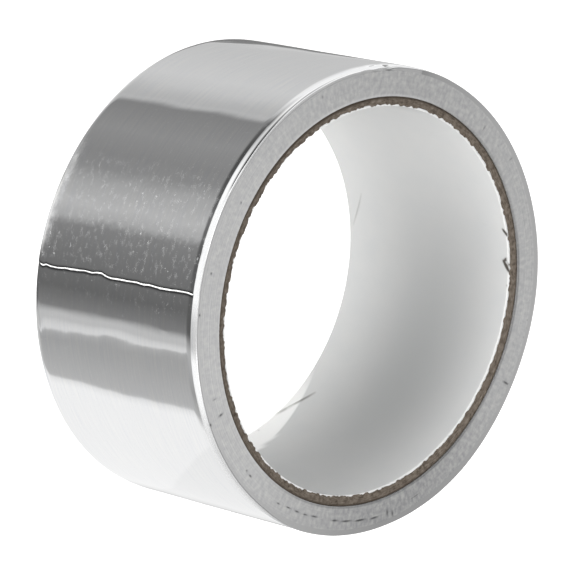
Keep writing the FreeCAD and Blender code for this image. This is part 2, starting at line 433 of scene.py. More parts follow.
outerTurn = {
    "tapeThickness": 0.11 * mm,
    "tailAngle": -81.6,
    "margin": 0.08 * mm,  # keeps ripples inside the solid
    "depth": 1.1 * mm,  # how far in the turns reach whose edges are rolled over
    "columns": 740,
    "closeColumns": (0.12, 3.0, 12),  # beside the cut end: first and last in degrees, and how many
    "wallRows": 48,
    "flatRows": 12,
    # how the wall leans in towards each end: mm from the end, and lean in degrees. Then the rows to a
    # step of the lean, and the points on the round that is left
    "nearLean": [(2.9, 0), (2.45, 2.2), (2.05, 4.4), (1.65, 5), (1.4, 9.5), (0.7, 11.5), (0.15, 16)],
    "nearSteps": (4, 9),
    "farLean": [(1.7, 0), (1, 2.5), (0.5, 7), (0.2, 14)],
    "farSteps": (3, 7),
    # the back of the near rim is squarer: angle in degrees, and share of its drop that is left there
    "rimDrop": [
        (-180, 0.84), (-174, 1), (-22, 1), (-8, 0.1), (4, 0.05), (10, 0.2), (22, 0.2), (32, 0.05),
        (60, 0.05), (76, 0.15), (88, 0), (126, 0), (148, 0.2), (166, 0.4), (174, 0.4), (180, 0.84),
    ],
    # and a little knocked outwards: angle, and mm
    "rimSwell": [
        (-180, 0), (-26, 0), (-18, 0.06), (-12, 0.14), (-6, 0.12), (0, 0.05), (8, 0.03), (24, 0),
        (34, 0.08), (40, 0.18), (46, 0.24), (52, 0.25), (58, 0.17), (64, 0.09), (74, 0), (86, -0.03),
        (94, 0.04), (101, 0.1), (110, 0.1), (124, 0), (150, 0), (168, -0.05), (180, 0),
    ],
    # the cut end is not quite straight: height in mm and turn in degrees
    "tailPath": [
        (0, -0.7), (1.6, -0.2), (2.6, -0.55), (3.6, -0.3), (5.6, -0.3), (8, -0.6), (11, -0.75),
        (13.6, -1), (15.6, -0.9), (17, -1.2), (18.2, -1.3), (19.6, -0.8), (21, -0.6), (23, -0.75),
        (25.6, -0.8), (28, -0.95), (30, -0.8), (31.6, -1), (34.6, -0.8), (37, -0.9), (40, -1.1),
        (42, -1.15), (43.6, -0.9), (45, -0.8),
    ],
    "ripple": (13, 7 * mm, 38 * mm, 0.0040, 11),  # waves, shortest, longest, slope, seed
    # creases and dents: start and end in degrees and mm, then half width and height in mm
    "creases": [
        (-130, 20.5, -60, 18.5, 1.6, 0.005), (-134.3, 29, -131, 41, 0.5, 0.006),
        (-93.6, 2.6, -90, 7.3, 0.22, 0.007), (-90, 7.3, -86.5, 7.2, 0.2, 0.009),
        (-78, 36.4, -76.4, 33.6, 0.2, 0.012), (-72.9, 36.8, -72.4, 36.2, 0.26, 0.022),
        (-79.9, 22.4, -79.2, 21.4, 0.2, 0.01), (-127.2, 43.4, -126.9, 43.1, 0.22, 0.018),
        (-165.5, 11, -159.5, 0.5, 1.2, 0.03),
    ],
    "gap": (0.49, 0.11, 0.07),  # beside the last turn: from the end, half width and depth in mm
    "line": (0.86, 0.06, 0.06),  # on the flat end: in from the wall, half width and depth in mm
    # by angle, with a soft S between: how strong the gap, the line and its dashes are, and how many mm
    # the line lies further out
    "gapShare": [(-170, 0.6), (-166, 0), (-156, 0), (-140, 1), (-113, 1), (-103, 0)],
    "lineShare": [(-170, 0.25), (-140, 1), (-112, 1), (-100, 0.25), (-62, 0.25), (-54, 0)],
    "dashShare": [(-88, 0), (-76, 0.675), (-66, 0.675), (-56, 0)],
    "lineOut": [(-112, 0), (-100, 0.24), (0, 0.24), (20, 0)],
    "dashes": (0.75, 0.25, 97, 41),  # mean, swing, and how many of each of two waves in a turn
    "knock": (-166, 7.0),  # the knocked stretch of the near rim: angle and half width in degrees
    "knockIn": (0.10, 0.08, 61),  # how far it is pushed in, and down: mm, wave in mm, waves in a turn
    "knockDown": (0.14, 0.10, 83),
    "crack": (-168.8, 0.8, 0.3),  # across that stretch: angle and half width in degrees, depth in mm
    # scuffs: degrees after the cut end at which they start, are full, start to end and have ended, then
    # the strength there, elsewhere and just after the cut end
    "worn": (327, 337, 357, 359.6),
    "wornLevels": (0.90, 0.10, 0.35),
    "wornAfter": (4, 8),  # where that last one fades out
    # by angle, with a soft S between: grey on the near round, a painted shade line before it, a painted
    # greyer lower end of the visible rim, and grey where the far rim is rubbed
    "roundGrey": [
        (-170, 0.42), (-166, 0), (-114, 0), (-106, 0.44), (-58, 0.44), (-50, 0.52), (-12, 0.52),
        (-2, 0.22), (0, 0.22), (20, 0),
    ],
    "rimLine": [(-58, 0), (-48, 0.2), (-26, 0.2), (-12, 0.45)],
    "rimLineAt": (0.3, 0.16),  # in from the wall, and half width, in mm
    "rimGrey": [(-19, 0), (-5, 0.45)],
    "rimGreyHigh": (42.2, 44.2),  # in mm: it starts and is full
    "cornerGrey": (0.15, 0.25, 25, 35),  # painted shade along the squarer corner: least, rise, and its angle and half width
    "farRubbed": [(-116, 0), (-106, 1), (-92, 1), (-84, 0)],
    "farRubbedAt": (1.2, 1.0),  # height and half width in mm
    "roundGreyLean": (12.5, 28, 78, 89.5),  # the grey lies on the round, between these leans
    # the lean at which the crushed slit edge starts, and where it is full, by angle: high on the round,
    # and lower down where the rim is squarer
    "cutStarts": [(-118, 54), (-104, 6), (-58, 6), (-48, 2)],
    "cutFull": [(-118, 72), (-104, 36), (-58, 36), (-48, 26)],
    # nicks of the knife, drawn as painted shade spots: angle, then in mm how far in from the wall, half
    # length round and inwards
    "nicks": [(-77.8, 0.78, 0.3, 0.18), (-50.4, 0.56, 0.34, 0.22)],
    # how dark the painted shade is: in the gap, line and crack, on each side of the cut end, and in the
    # shaded patch
    "soil": {"gap": 0.9, "line": 0.3, "crack": 0.6, "before": 0.95, "after": 0.9, "shade": 0.07},
    "besideCut": {"before": (0, 0.3), "after": (0.5, 0.2)},  # mm from the cut end, and half width
    # the lower edge of a faint painted shade: angle and height in mm
    "shade": [(-46, 45), (-40, 38), (-35, 33), (-30, 28), (-25, 23), (-20, 19), (-16, 13), (-8, 5)],
}


def rimRows(end):
    # half of the section, from where the wall starts to lean to where it meets the flat end: the
    # drop is the running sum of the lean's tangent, then a round of the height that is left turns
    # the wall flat. Gives drop from the wall, distance from the end, and the lean in degrees
    table = np.array(outerTurn[end + "Lean"])
    perStep, roundSteps = outerTurn[end + "Steps"]
    steps = np.arange((len(table) - 1) * perStep + 1) / perStep
    away = np.interp(steps, np.arange(len(table)), table[:, 0]) * mm
    lean = np.radians(np.interp(steps, np.arange(len(table)), table[:, 1]))
    slope = np.tan(lean)
    drop = np.r_[0, np.cumsum((slope[1:] + slope[:-1]) / 2 * (away[:-1] - away[1:]))]
    bend = away[-1] / (1 - np.sin(lean[-1]))
    turn = np.linspace(lean[-1], np.pi / 2, roundSteps)[1:]
    drop = np.r_[drop, drop[-1] + bend * (np.cos(lean[-1]) - np.cos(turn))]
    return drop, np.r_[away, bend * (1 - np.sin(turn))], np.degrees(np.r_[lean, turn])


def makeOuterTurn():
    # the last turn and its rolled edges: a radius that gains one thickness in a turn from the cut end,
    # less the drop of the section's row, plus ripples and creases. psi counts degrees from the cut
    # end, and phi is the angle from -180 to 180
    s = outerTurn
    nearDrop, nearAway, nearLean = rimRows("near")
    farDrop, farAway, farLean = rimRows("far")
    wall = np.linspace(farAway[0], rollWidth - nearAway[0], s["wallRows"] + 2)[1:-1]
    flat = np.linspace(nearDrop[-1], s["depth"], s["flatRows"] + 1)[1:]
    drop = np.r_[s["depth"], farDrop[::-1], 0 * wall, nearDrop, flat][:, None]
    height = np.r_[0, farAway[::-1], wall, rollWidth - nearAway, rollWidth + 0 * flat][:, None]
    lean = np.r_[-90, -farLean[::-1], 0 * wall, nearLean, 90 + 0 * flat][:, None]
    close = np.geomspace(*s["closeColumns"])
    psi = np.r_[0, close, np.linspace(3.5, 356.5, s["columns"]), 360 - close[::-1], 359.985]
    tailShare = 1 - stretchOf(psi, 0, 18, 342, 360)
    angle = np.radians(s["tailAngle"] + psi + readTable(s["tailPath"], height / mm) * tailShare)
    phi = (np.degrees(angle) + 180) % 360 - 180
    toArc = np.radians(1) * rollRadius / mm

    near = height > rollWidth / 2
    back = (1 - readTable(s["rimDrop"], phi)) * near
    inward = np.clip((drop - nearDrop[-1]) / (s["depth"] - nearDrop[-1]), 0, 1) * near
    swell = readTable(s["rimSwell"], phi) * mm * smoothStep(drop / mm, 0.0, 0.1) * (1 - inward) * near
    fall = drop * (1 - back * (1 - inward)) - swell
    fromEnd = rollWidth - height
    z = rollWidth - fromEnd * np.where(fromEnd < nearAway[0] * 1.001, 1 - 0.7 * back, 1)
    field = sineField(angle, z, rollRadius, *s["ripple"])
    field += creaseField(phi, z / mm, toArc, s["creases"]) * mm
    spiral = s["tapeThickness"] * (1 - psi / 360)
    radius = rollRadius - s["margin"] - spiral - fall + field * (1 - smoothStep(np.abs(lean), 8, 30))

    # the last turn stands apart from the next one on part of the near shoulder
    place, half, deep = s["gap"]
    gap = bellCurve((rollWidth - z) / mm, place, half) * near * (lean < 80)
    gap = gap * softTable(s["gapShare"], phi)
    radius -= deep * mm * gap
    # and a fine second line on the flat end inside it, broken into dashes lower down
    place, half, deep = s["line"]
    lineAt = place - softTable(s["lineOut"], phi)
    line = bellCurve(drop / mm, lineAt, half) * (lean > 89) * near
    mean, swing, many, few = s["dashes"]
    dashes = mean + swing * np.sin(np.radians(phi) * many) * np.sin(np.radians(phi) * few)
    line = line * (softTable(s["lineShare"], phi) + dashes * softTable(s["dashShare"], phi))
    z -= deep * mm * line
    # the knocked stretch is pushed in and down in waves
    knock = bellCurve(phi, *s["knock"]) * smoothStep(lean, 2, 12)
    deep, wave, count = s["knockIn"]
    radius -= knock * (deep + wave * np.sin(np.radians(phi) * count)) * mm
    deep, wave, count = s["knockDown"]
    z -= knock * (deep + wave * np.sin(np.radians(phi) * count + 1)) * mm * near
    # and has a short crack across the rim
    place, half, deep = s["crack"]
    crack = bellCurve(phi, place, half) * smoothStep(lean, 2, 12) * near
    radius -= deep * mm * crack

    upright = 1 - smoothStep(np.abs(lean), 4, 10)
    onRound = stretchOf(lean, *s["roundGreyLean"]) * near
    thin = bellCurve(drop / mm, *s["rimLineAt"]) * near * (lean < 80) * (phi < 0)
    least, rise, middle, wide = s["cornerGrey"]
    corner = least + rise * bellCurve(phi, middle, wide)
    shadeEdge = readTable(s["shade"], phi)
    soilAndShadeMarks = [
        # painted shade in the gap, the fine line and the crack
        s["soil"]["gap"] * gap,
        s["soil"]["line"] * line,
        s["soil"]["crack"] * crack,
        # painted shade on each side of the cut end, where it stands clear of the rims
        s["soil"]["before"] * bellCurve((360 - psi) * toArc, *s["besideCut"]["before"]) * upright,
        s["soil"]["after"] * bellCurve(psi * toArc, *s["besideCut"]["after"]) * upright,
        # a painted shade line before the round
        thin * softTable(s["rimLine"], phi),
        # a faint painted shade above its slanted lower edge
        s["soil"]["shade"] * smoothStep(z / mm - shadeEdge, -0.5, 0.5) * smoothStep(phi, -47, -42),
        # painted shade, greyer towards the lower end of the visible rim, and along the squarer corner
        # behind
        softTable(s["rimGrey"], phi) * (1 - back) * smoothStep(z / mm, *s["rimGreyHigh"]),
        corner * back * (lean > 40) * (lean < 89),
        # greyer on the near round
        softTable(s["roundGrey"], phi) * onRound,
    ]
    # the knife nicks, as painted shade spots
    soilAndShadeMarks += [spotAt(phi, drop / mm, toArc, *nick) * near for nick in s["nicks"]]
    soil = np.clip(np.max(np.broadcast_arrays(*soilAndShadeMarks), axis=0), 0, 1)

    cut = smoothStep(lean, softTable(s["cutStarts"], phi), softTable(s["cutFull"], phi)) * near
    # scuffed most on the last stretch before the cut end, and a little just after it
    most, least, after = s["wornLevels"]
    fading = after * (1 - smoothStep(psi, *s["wornAfter"]))
    worn = np.maximum(least + most * stretchOf(psi, *s["worn"]), fading)
    fringe = bellCurve(z / mm, *s["farRubbedAt"]) * softTable(s["farRubbed"], phi)
    z = np.clip(z, 0, rollWidth)
    around = np.radians(np.append(psi, 360)) * rollRadius
    shades = {"soil": soil, "worn": worn, "cut": cut, "rubbed": fringe, "shine": readTable(paintedEndSheen, phi)}
    return ringPiece("foil_outer_turn", radius, z, angle, around, runningLength(radius, z), 48, shades)


slippedCore = {"amount": 0.25 * mm, "towards": 72.0}  # at the near end the core has slid sideways


def coreSlip(angle):
    # how far the joint between card and tape lies off its circle: a cosine of the angle
    return slippedCore["amount"] * np.cos(angle - np.radians(slippedCore["towards"]))


# painted sheen: how brightly the slit end is painted to shine round the roll: angle and share from the
# dull to the bright grey
paintedEndSheen = [
    (-180, 0.4), (-160, 0.52), (-130, 0.72), (-110, 0.88), (-60, 1), (-30, 0.9), (-12, 0.6),
    (5, 0.25), (20, 0.06), (35, 0.06), (50, 0.22), (70, 0.55), (95, 0.7), (130, 0.6), (150, 0.52),
    (180, 0.4),
]

tapePack = {
    "ridges": 10,
    "ridgeHeight": 0.022 * mm,
    "columns": 1440,
    "nearRows": 46,
    "farRows": 16,
    "meanRadius": 42.5 * mm,  # measures the patterns round the end
    "swayHeight": 0.012 * mm,  # of seven slow waves round it
    "jointLine": (0.22, 0.22),  # in from the card and half width, in mm
    # the joint with the card: angle, and painted shade (above 0) or a painted highlight (below 0)
    "joint": [
        (-180, -0.25), (-60, -0.25), (-30, -0.1), (-12, 0.35), (10, 0.38), (30, 0.35), (50, 0.62),
        (70, 0.32), (90, 0.55), (112, 0.58), (130, 0.2), (150, 0.3), (168, 0), (180, -0.25),
    ],
    # nicks and ticks of the knife in the near end: angle, then radius, half length round, half length
    # across and depth in mm
    "ticks": [
        (-88, 43.4, 0.22, 0.22, 0.12), (-107.5, 41.9, 0.2, 0.2, 0.1),
        (-50.8, 42.1, 0.2, 0.55, 0.14), (-55.6, 42.6, 0.14, 0.45, 0.08),
        (-30.6, 42.6, 0.4, 0.18, 0.14), (-32.6, 42.5, 0.24, 0.2, 0.1),
        (76.8, 44, 0.22, 0.9, 0.14), (75.9, 45, 0.15, 0.35, 0.08), (89.5, 45, 0.2, 0.4, 0.12),
        (92, 44.9, 0.15, 0.3, 0.08), (94, 45.1, 0.22, 0.45, 0.14),
        (-145, 43.7, 0.18, 0.3, 0.08), (-17.5, 42.9, 0.4, 0.15, 0.12),
        (-13.6, 42.6, 0.6, 0.14, 0.14), (-10.2, 42.6, 0.55, 0.15, 0.14),
        (-7, 42.6, 0.6, 0.14, 0.13), (-3.6, 42.5, 0.8, 0.15, 0.14), (4.2, 42.8, 0.8, 0.17, 0.14),
        (8.4, 43, 1.2, 0.17, 0.16), (13.4, 43.2, 1.3, 0.18, 0.18), (18.6, 43.45, 1.1, 0.17, 0.15),
        (23.4, 43.4, 0.25, 0.6, 0.12), (25.2, 44, 0.22, 0.6, 0.12), (34, 43.2, 1.4, 0.12, 0.08),
        (151.5, 42.6, 0.16, 0.7, 0.07), (138, 44.2, 0.16, 0.6, 0.07),
    ],
}


def makeTapePack():
    # the flat ends of the pack: the height sinks by a cosine of the radius in pitches, whose phase climbs
    # by one pitch in a turn, with two slower sines of it and one of the angle on top
    s = tapePack
    outside = rollRadius - outerTurn["depth"] - outerTurn["margin"]
    nearRadii = np.linspace(outside, coreRadius, s["nearRows"])
    farRadii = np.linspace(coreRadius, outside, s["farRows"])
    base = np.r_[farRadii, nearRadii][:, None]
    near = np.arange(len(base))[:, None] >= len(farRadii)
    psi = np.linspace(0, 360, s["columns"], endpoint=False)
    angle = np.radians(outerTurn["tailAngle"] + psi) + 0 * base
    phi = (np.degrees(angle) + 180) % 360 - 180
    radius = base + coreSlip(angle) * (outside - base) / (outside - coreRadius) * near
    turn = (outside - radius) * s["ridges"] / (outside - coreRadius) + psi / 360
    ridge = 0.5 - 0.5 * np.cos(2 * np.pi * turn)
    drift = np.sin(turn * 1.9 + 0.7) * 0.5 + np.sin(turn * 4.3 + 2.1) * 0.5
    sink = s["ridgeHeight"] * (0.7 * ridge + 0.5 + 0.45 * drift)
    sink += s["swayHeight"] * (1 + np.sin(np.radians(psi) * 7 + radius / mm * 1.3))
    sink *= smoothStep(np.minimum(outside - base, base - coreRadius), 0, 0.2 * mm) * 0.8 + 0.2
    tick = 0 * radius
    for place, away, halfRound, halfAcross, depth in s["ticks"]:
        perDegree = np.radians(1) * away
        tick += depth * near * spotAt(phi, radius / mm, perDegree, place, away, halfRound, halfAcross)
    height = np.where(near, rollWidth - sink - tick * mm, sink)
    # a painted line along the joint with the card: painted shade on one side, and a painted highlight on
    # the other
    joint = readTable(s["joint"], phi)
    beside = bellCurve((radius - coreRadius - coreSlip(angle)) / mm, *s["jointLine"]) * near
    # painted shade in the knife ticks and beside the joint
    soil = np.clip(np.maximum(tick * 7, joint * beside), 0, 0.9)
    # the painted highlight beside the joint raises the painted sheen
    shine = np.clip(readTable(paintedEndSheen, phi) - 2 * np.minimum(joint, 0) * beside, 0, 1)
    around = np.radians(np.append(psi, 360)) * s["meanRadius"]
    section = np.r_[farRadii - coreRadius, 0.01 + outside - nearRadii, 0.02]
    shades = {"soil": soil, "shine": shine}
    return ringPiece("wound_tape_pack", radius, height, angle, around, section, 40, shades)


tailLine = {
    "width": 0.27 * mm,
    "thickness": 0.075 * mm,
    "stations": 260,
    "low": 0.7 * mm,
    "high": 43.45 * mm,
    "drift": 0.03 * mm,  # how far its middle wanders to the sides
}


def rimFall(end, away):
    # how far the wall has dropped at a distance from that end
    drop, steps, _ = rimRows(end)
    return np.interp(away, steps[::-1], drop[::-1])


def makeTailLine():
    # a flat strip along the cut end: its section is a low arch, and its width and edges wander
    s = tailLine
    height = np.linspace(s["low"], s["high"], s["stations"])[:, None]
    rng = np.random.default_rng(5)
    wander = np.convolve(rng.normal(0, 1, s["stations"] + 8), np.ones(9) / 9, "valid")[:, None]
    drift = np.convolve(rng.normal(0, 1, s["stations"] + 4), np.ones(5) / 5, "valid")[:, None]
    half = s["width"] / 2 * (1 + 0.35 * wander)
    way = np.linspace(np.pi, 0, 9)
    taper = np.minimum(1, np.minimum(height - s["low"], s["high"] - height) / (0.5 * mm) + 0.25)
    floorRadius = rollRadius - outerTurn["margin"] - outerTurn["tapeThickness"]
    floorRadius = floorRadius - rimFall("near", rollWidth - height) - rimFall("far", height)
    arc = 0.5 * s["width"] + s["drift"] * drift + half * np.cos(way) * taper
    tail = outerTurn["tailAngle"] + readTable(outerTurn["tailPath"], height / mm)
    angle = np.radians(tail) + arc / rollRadius
    top = floorRadius + 0.015 * mm + s["thickness"] * np.sin(way) * taper
    under = floorRadius - 0.05 * mm + 0 * arc
    radius = np.concatenate([top, under], 1)
    angle = np.concatenate([angle, angle[:, ::-1]], 1)
    level = height + 0 * radius
    radius = radius + ovalRise(angle, level)
    points = np.stack([radius * np.cos(angle), radius * np.sin(angle), level], -1)
    index = np.arange(radius.size).reshape(radius.shape)
    right = np.roll(index, -1, 1)
    faces = np.stack([index[:-1], right[:-1], right[1:], index[1:]], -1).reshape(-1, 4).tolist()
    faces += [index[0, ::-1].tolist(), index[-1].tolist()]
    mesh = bpy.data.meshes.new("release_paper_edge")
    mesh.from_pydata(points.reshape(-1, 3).tolist(), [], faces)
    return finishPiece(mesh, 50)


cardCore = {
    "columns": 1440,
    "edgeRows": 16,
    "meanRadius": 39 * mm,  # measures the fibres round the edge
    # how ragged the inner lip and the cut edge are: columns that the noise is smoothed over, and share
    "fray": ((60, 0.25), (24, 0.25), (9, 0.55), (4, 0.35)),
    "relief": ((9, 0.5), (4, 0.5), (2, 0.6)),
    "lipRange": (-0.10 * mm, 0.48 * mm),  # in from the lining's outside: least, and the fray's reach
    "chipMost": 0.45 * mm,
    "reliefHeight": 0.045 * mm,
    # where the inner lip reaches further in (below 0) or less far (above 0): angle and mm
    "lipShift": [
        (-180, 0), (-160, -0.05), (-130, -0.14), (-100, -0.1), (-80, -0.05), (-62, 0.03),
        (-50, 0.13), (-38, 0.05), (-25, 0), (180, 0),
    ],
    "seam": 0.16 * mm,  # width and depth of a shadow gap beside the tape
    "gap": 0.22 * mm,
    "slope": 0.32 * mm,  # how much lower the cut edge is at its inner lip
    # chips out of the inner edge: angle, half width in degrees, depth in mm
    "chips": [
        (119, 0.9, 0.45), (108.4, 0.6, 0.4), (116.2, 0.5, 0.25), (35, 0.8, 0.12),
        (-150, 1.2, 0.12),
    ],
    "glue": (0.15 * mm, 0.75 * mm),  # painted shadow in from the tape: where it starts to fade and where it ends
    "jointShadowDeeper": [(-170, 0), (-156, 1), (-114, 1), (-98, 0)],  # where the painted shadow is deeper: angle and share
}


def makeCardCore():
    # a tube whose near end is torn: the lip's radius and the edge's height are sums of smoothed noise
    s = cardCore
    rng = np.random.default_rng(21)
    psi = np.linspace(-180, 180, s["columns"], endpoint=False)
    theta = np.radians(psi)
    flat = np.ones(s["columns"])
    fray = 0 * flat
    for size, share in s["fray"]:
        fray += share * smoothRound(rng.normal(0, 1, s["columns"]), softKernel(size))
    reach = np.clip(0.45 + 0.5 * fray, 0, 1)
    least, most = s["lipRange"]
    lip = plyRadius - least - most * reach + mm * readTable(s["lipShift"], psi)
    lip = np.maximum(lip, boreRadius - 0.05 * mm)
    chip = sum(depth * mm * bellCurve(psi, place, halfWidth) for place, halfWidth, depth in s["chips"])
    lip = np.minimum(lip + chip, plyRadius + s["chipMost"])
    # rows: outer wall up, shadow gap, the cut edge, down over the lip, the inner wall and the far end
    shares = np.linspace(0, 1, s["edgeRows"])[:, None]
    slipped = coreRadius + coreSlip(theta)
    start = slipped - s["seam"]
    edge = start + (lip - start) * shares
    innerWall = [lip + 0.01 * mm, np.maximum(lip, plyRadius), plyRadius * flat, plyRadius * flat]
    radius = np.vstack([coreRadius * flat, slipped, edge, *innerWall])
    relief = 0 * edge
    for size, share in s["relief"]:
        noise = rng.normal(0, 1, edge.shape)
        relief += share * np.array([smoothRound(row, softKernel(size)) for row in noise])
    relief = np.clip(s["reliefHeight"] * relief, -0.1 * mm, 0.1 * mm)
    sunk = s["gap"] * (1 - smoothStep(shares, 0.0, 0.16))
    edgeHeight = np.minimum(rollWidth - 0.04 * mm - s["slope"] * shares + relief - sunk, rollWidth)
    edgeHeight[-1] = np.minimum(edgeHeight[-1], rollWidth - 0.06 * mm)
    under = liningTop + 0.01 * mm
    wallTop = rollWidth - s["gap"] - 0.1 * mm
    levels = [under * flat, under * flat, (rollWidth - 1.2 * mm) * flat, 0 * flat]
    height = np.vstack([0 * flat, wallTop * flat, edgeHeight, *levels])
    # painted shadow darkens the edge beside the tape, deeper where the tear follows it
    deeper = softTable(s["jointShadowDeeper"], psi)
    inFrom = slipped - radius[1 : s["edgeRows"] + 2] - 0.1 * mm * deeper
    glue = 0 * radius
    glue[1 : s["edgeRows"] + 2] = (1 - smoothStep(inFrom, *s["glue"])) * (0.8 + 0.4 * deeper)
    angle = np.broadcast_to(theta, radius.shape)
    around = np.radians(np.append(psi, 180)) * s["meanRadius"]
    section = runningLength(radius, height)
    return ringPiece("wound_card_core", radius, height, angle, around, section, 55, {"glue": glue})


liningPly = {
    "columns": 1100,
    # heights of the rows in shares of the ply, from its far end up: dense where it is folded
    "rows": [(0, 30, 0.13), (0.13, 30, 0.95), (0.95, 16, 1)],
    "wave": (7, 9 * mm, 40 * mm, 0.004, 3),  # waves, shortest, longest, slope, seed
    "tear": 0.05 * mm,
    "clear": 0.07 * mm,  # of the bore, so that waves stay out of it
    "riseRange": (-0.2 * mm, 0.24 * mm),
    # a painted pool of light by the far rim, drawn as a whiter wedge of the ply: angle and height of one
    # point of its slanted edge, fall in mm to a degree, and the angles between which it starts and ends
    "paintedLitWedge": (28.5, 7.2, 0.175, (8, 14, 50, 70)),
    "dim": (71.8, 59.2, 25.4, 17.5),  # painted shade in the middle of the bore: middle and reach in degrees, then in mm
    "lit": [(105, 0), (165, 0.35), (168, 0.35), (180, 0)],  # painted light where the wall faces the light: angle and how much whiter
    # folds in the paper: start and end in degrees and mm, then half width and height in mm
    "folds": [
        (45.3, 0, 57.6, 4.7, 0.3, 0.2), (112, 0.8, 123, 4.6, 0.2, 0.08),
        (109.3, 44.9, 111.5, 42.9, 0.16, -0.22),
    ],
    # shadow lines beside the folds: the same, with a strength instead of the height
    "lines": [
        (45.5, 0.4, 49.5, 1.7, 0.42, 0.5), (49.5, 1.7, 57, 4.8, 0.26, 0.75),
        (112.5, 1.1, 123, 4.6, 0.15, 0.4), (107.4, 44.7, 110.4, 43.1, 0.3, 2.5),
        (110.4, 43.1, 111.4, 43.9, 0.2, 1.6), (118.3, 44.8, 120.2, 43.6, 0.24, 2.5),
    ],
    # marks: angle, height in mm, half size in mm, strength
    "marks": [
        (109.6, 44.5, 0.35, 0.9), (110.8, 43.6, 0.22, 0.9), (120.7, 38.4, 0.2, 0.35),
        (119, 44.8, 0.25, 0.5), (103.3, 44.2, 0.15, 0.6), (36, 0.9, 0.18, 0.4),
        (53, 44.6, 0.2, 0.35), (78.5, 26, 0.12, 0.12), (131, 33.5, 0.3, 0.12),
    ],
}


def makeLining():
    # a thin tube: rows run down the inner face and up the outer one, so that the skin looks outwards,
    # and folds and waves stand in from the bore
    s = liningPly
    far = liningLow.z
    psi = np.linspace(-180, 180, s["columns"], endpoint=False)
    parts = [np.linspace(low, high, count, endpoint=False) for low, count, high in s["rows"]]
    share = np.r_[*parts, 1][::-1, None]
    rng = np.random.default_rng(8)
    tear = smoothRound(rng.normal(0, 1, s["columns"]), np.ones(3) / 3)
    edge = liningTop - s["tear"] * np.clip(1 + tear, 0, 2.4)
    inner = far + (edge - far) * share
    z = np.vstack([inner, far + 0 * psi, edge])
    level = inner / mm
    toArc = np.radians(1) * boreRadius / mm
    rise = creaseField(psi, level, toArc, s["folds"]) * mm
    rise += sineField(np.radians(psi), inner, boreRadius, *s["wave"])
    rise = np.clip(rise + 0.06 * mm, *s["riseRange"])
    radius = np.vstack([boreRadius + s["clear"] - rise, plyRadius + 0 * psi, plyRadius + 0 * psi])
    place, height, fall, ends = s["paintedLitWedge"]
    slant = height - fall * (psi - place)
    paintedLitWedge = (1 - smoothStep(level - slant, -0.35, 0.35)) * stretchOf(psi, *ends)
    # painted light too, whiter where it is turned to the light, and whiter on the torn fibres along its
    # near edge
    lit = softTable(s["lit"], psi)
    torn = 0.8 * smoothStep(inner, edge - 0.5 * mm, edge - 0.1 * mm)
    # painted shade: darker in the middle of its width, most on one side
    middle, wide, height, tall = s["dim"]
    soil = creaseField(psi, level, toArc, s["lines"])
    for place, at, size, strength in s["marks"]:
        soil += strength * spotAt(psi, level, toArc, place, at, size, size)
    shades = {
        "bare": np.maximum(np.maximum(paintedLitWedge, lit), torn),
        "dim": bellCurve(psi, middle, wide) * bellCurve(level, height, tall),
        "soil": np.clip(soil, 0, 1),
    }
    shades = {key: np.pad(values, ((0, 2), (0, 0))) for key, values in shades.items()}  # none on the back
    angle = np.broadcast_to(np.radians(psi), z.shape)
    around = np.radians(np.append(psi, 180)) * boreRadius
    return ringPiece("paper_lining_ply", radius, z, angle, around, runningLength(radius, z), 50, shades)


foilFinish = makeFinish("bright rolled aluminium foil", rolledFoil)
edgeFinish = makeFinish("slit edge of foil tape", slitTapeEdge)
cardFinish = makeFinish("wound core board", woundCard)
paperFinish = makeFinish("smooth white lining paper", calenderedPaper)
releaseFinish = makeFinish("torn release paper", releasePaper)
dressPiece(makeOuterTurn(), foilFinish, "foil_tape")
dressPiece(makeTapePack(), edgeFinish, "foil_tape")
dressPiece(makeTailLine(), releaseFinish, None)
dressPiece(makeCardCore(), cardFinish, "cardboard_core")
dressPiece(makeLining(), paperFinish, "paper_lining")


